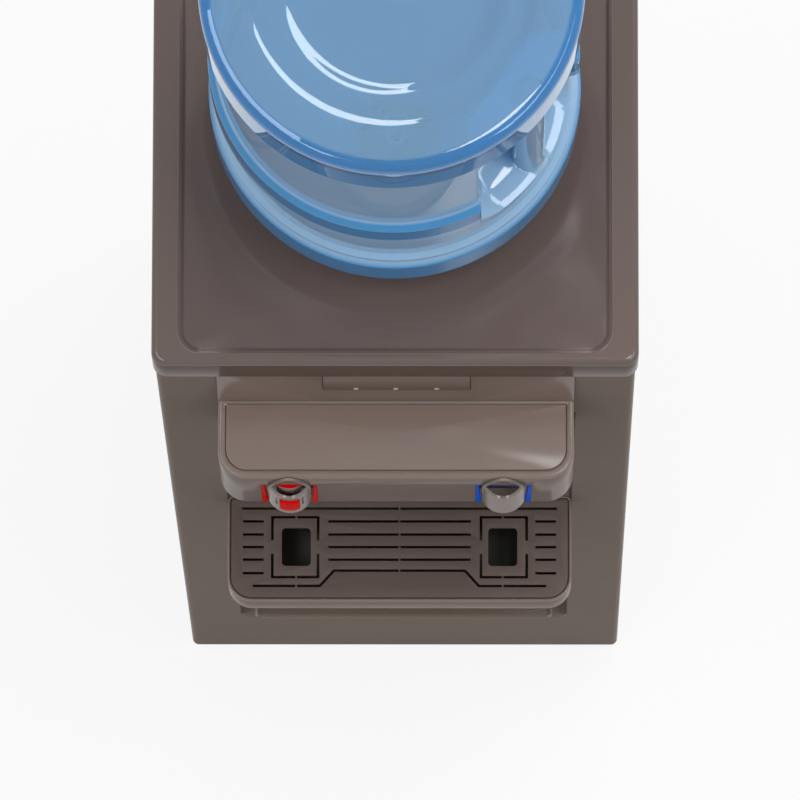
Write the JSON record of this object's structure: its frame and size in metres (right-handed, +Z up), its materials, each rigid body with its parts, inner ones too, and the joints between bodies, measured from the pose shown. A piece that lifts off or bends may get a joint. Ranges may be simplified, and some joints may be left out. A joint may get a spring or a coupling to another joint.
{
  "type": "bottled water dispenser",
  "caption": "Floor-standing water dispenser: upturned blue bottle on a tall cabinet with hot and cold push-lever taps, a drip tray and a rear condenser.",
  "frame": {"origin": "middle of the object's footprint, on the floor", "axes": "+Z up, the taps face -Y, +X to the right seen from the front"},
  "size_m": [0.343, 0.4634, 1.43],
  "materials": {
    "bare_steel": "plain steel",
    "black_plastic": "satin black",
    "black_steel": "black paint",
    "blue_plastic": "gloss blue",
    "bottle_plastic": "clear blue polycarbonate",
    "circuit_board": "green lacquer",
    "copper": "bare copper",
    "cover_plastic": "high gloss taupe",
    "dark_grid_plastic": "satin taupe",
    "foam": "cream foam",
    "grey_plastic": "satin grey",
    "nose_plastic": "gloss taupe",
    "painted_steel": "taupe powder coat",
    "panel_plastic": "gloss taupe",
    "red_plastic": "gloss red",
    "rubber": "matt black",
    "silicone": "translucent white",
    "white_plastic": "natural white"
  },
  "bodies": {
    "cabinet": {"baffle": "white_plastic", "base_pan": "painted_steel", "cold_hose": "silicone", "cold_switch_body": "black_plastic", "cold_tank": "bare_steel", "cold_tank_jacket": "foam", "cold_tank_lid": "white_plastic", "cold_tap_body": "white_plastic", "cold_tap_nut": "white_plastic", "cold_tap_trim": "blue_plastic", "cold_tap_well": "black_plastic", "compressor": "black_steel", "condenser": "black_steel", "cord_gland": "black_plastic", "discharge_pipe": "copper", "display_window": "dark_grid_plastic", "drain_hose": "silicone", "drain_spout": "black_plastic", "evaporator_coil": "copper", "feed_hose": "silicone", "feed_probe": "white_plastic", "filter_drier": "copper", "foot_front_left": "rubber", "foot_front_right": "rubber", "foot_rear_left": "rubber", "foot_rear_right": "rubber", "front_panel": "panel_plastic", "heating_band": "bare_steel", "hot_hose": "silicone", "hot_switch_body": "black_plastic", "hot_tank": "bare_steel", "hot_tank_jacket": "foam", "hot_tap_body": "white_plastic", "hot_tap_nut": "white_plastic", "hot_tap_trim": "red_plastic", "hot_tap_well": "black_plastic", "indicator_board": "circuit_board", "nose_housing": "nose_plastic", "nose_top_plate": "nose_plastic", "rear_panel": "painted_steel", "seat_funnel": "nose_plastic", "side_panel_left": "painted_steel", "side_panel_right": "painted_steel", "suction_pipe": "copper", "tank_frame": "painted_steel", "top_cover": "cover_plastic", "tray_holder": "panel_plastic"},
    "bottle_body": {"bottle": "bottle_plastic", "bottle_cap": "white_plastic"},
    "hot_lever_body": {"hot_lever": "nose_plastic", "hot_button_guide": "grey_plastic"},
    "hot_button_body": {"hot_safety_button": "red_plastic"},
    "cold_lever_body": {"cold_lever": "nose_plastic"},
    "hot_stem_body": {"hot_valve_stem": "white_plastic"},
    "cold_stem_body": {"cold_valve_stem": "white_plastic"},
    "tray_body": {"drip_tray": "panel_plastic"},
    "grid_body": {"drip_grid": "dark_grid_plastic"},
    "hot_rocker_body": {"hot_switch_rocker": "red_plastic"},
    "cold_rocker_body": {"cold_switch_rocker": "blue_plastic"},
    "drain_cap_body": {"drain_cap": "black_plastic"}
  },
  "joints": [
    {"name": "bottle_lift", "type": "slide", "parent": "cabinet", "child": "bottle_body", "axis": [0, 0, 1], "range_m": [0, 0.15]},
    {"name": "hot_lever_push", "type": "hinge", "parent": "cabinet", "child": "hot_lever_body", "pos_m": [-0.0765, -0.20625, 0.918], "axis": [1, 0, 0], "range_deg": [0, 11], "stiffness_Nm_per_rad": 0.5, "springref_deg": -8.59},
    {"name": "cold_lever_push", "type": "hinge", "parent": "cabinet", "child": "cold_lever_body", "pos_m": [0.0765, -0.20625, 0.918], "axis": [1, 0, 0], "range_deg": [0, 11], "stiffness_Nm_per_rad": 0.5, "springref_deg": -8.59},
    {"name": "hot_valve_lift", "type": "slide", "parent": "cabinet", "child": "hot_stem_body", "axis": [0, 0, 1], "range_m": [0, 0.0026]},
    {"name": "cold_valve_lift", "type": "slide", "parent": "cabinet", "child": "cold_stem_body", "axis": [0, 0, 1], "range_m": [0, 0.0026]},
    {"name": "hot_button_press", "type": "slide", "parent": "hot_lever_body", "child": "hot_button_body", "axis": [0, 1, 0], "range_m": [0, 0.0025], "stiffness_N_per_m": 400, "springref_m": -0.003},
    {"name": "tray_pull", "type": "slide", "parent": "cabinet", "child": "tray_body", "axis": [0, -1, 0], "range_m": [0, 0.06]},
    {"name": "grid_lift", "type": "slide", "parent": "tray_body", "child": "grid_body", "axis": [0, 0, 1], "range_m": [0, 0.03]},
    {"name": "hot_switch_rock", "type": "hinge", "parent": "cabinet", "child": "hot_rocker_body", "pos_m": [-0.035, 0.20325, 0.974], "axis": [1, 0, 0], "range_deg": [0, 16]},
    {"name": "cold_switch_rock", "type": "hinge", "parent": "cabinet", "child": "cold_rocker_body", "pos_m": [0.035, 0.20325, 0.974], "axis": [1, 0, 0], "range_deg": [0, 16]},
    {"name": "drain_cap_pull", "type": "slide", "parent": "cabinet", "child": "drain_cap_body", "axis": [0, 1, 0], "range_m": [0, 0.02]}
  ],
  "couplings": [
    {"joint": "hot_valve_lift", "follows": "hot_lever_push", "m_per_rad": 0.0125},
    {"joint": "cold_valve_lift", "follows": "cold_lever_push", "m_per_rad": 0.0125}
  ]
}
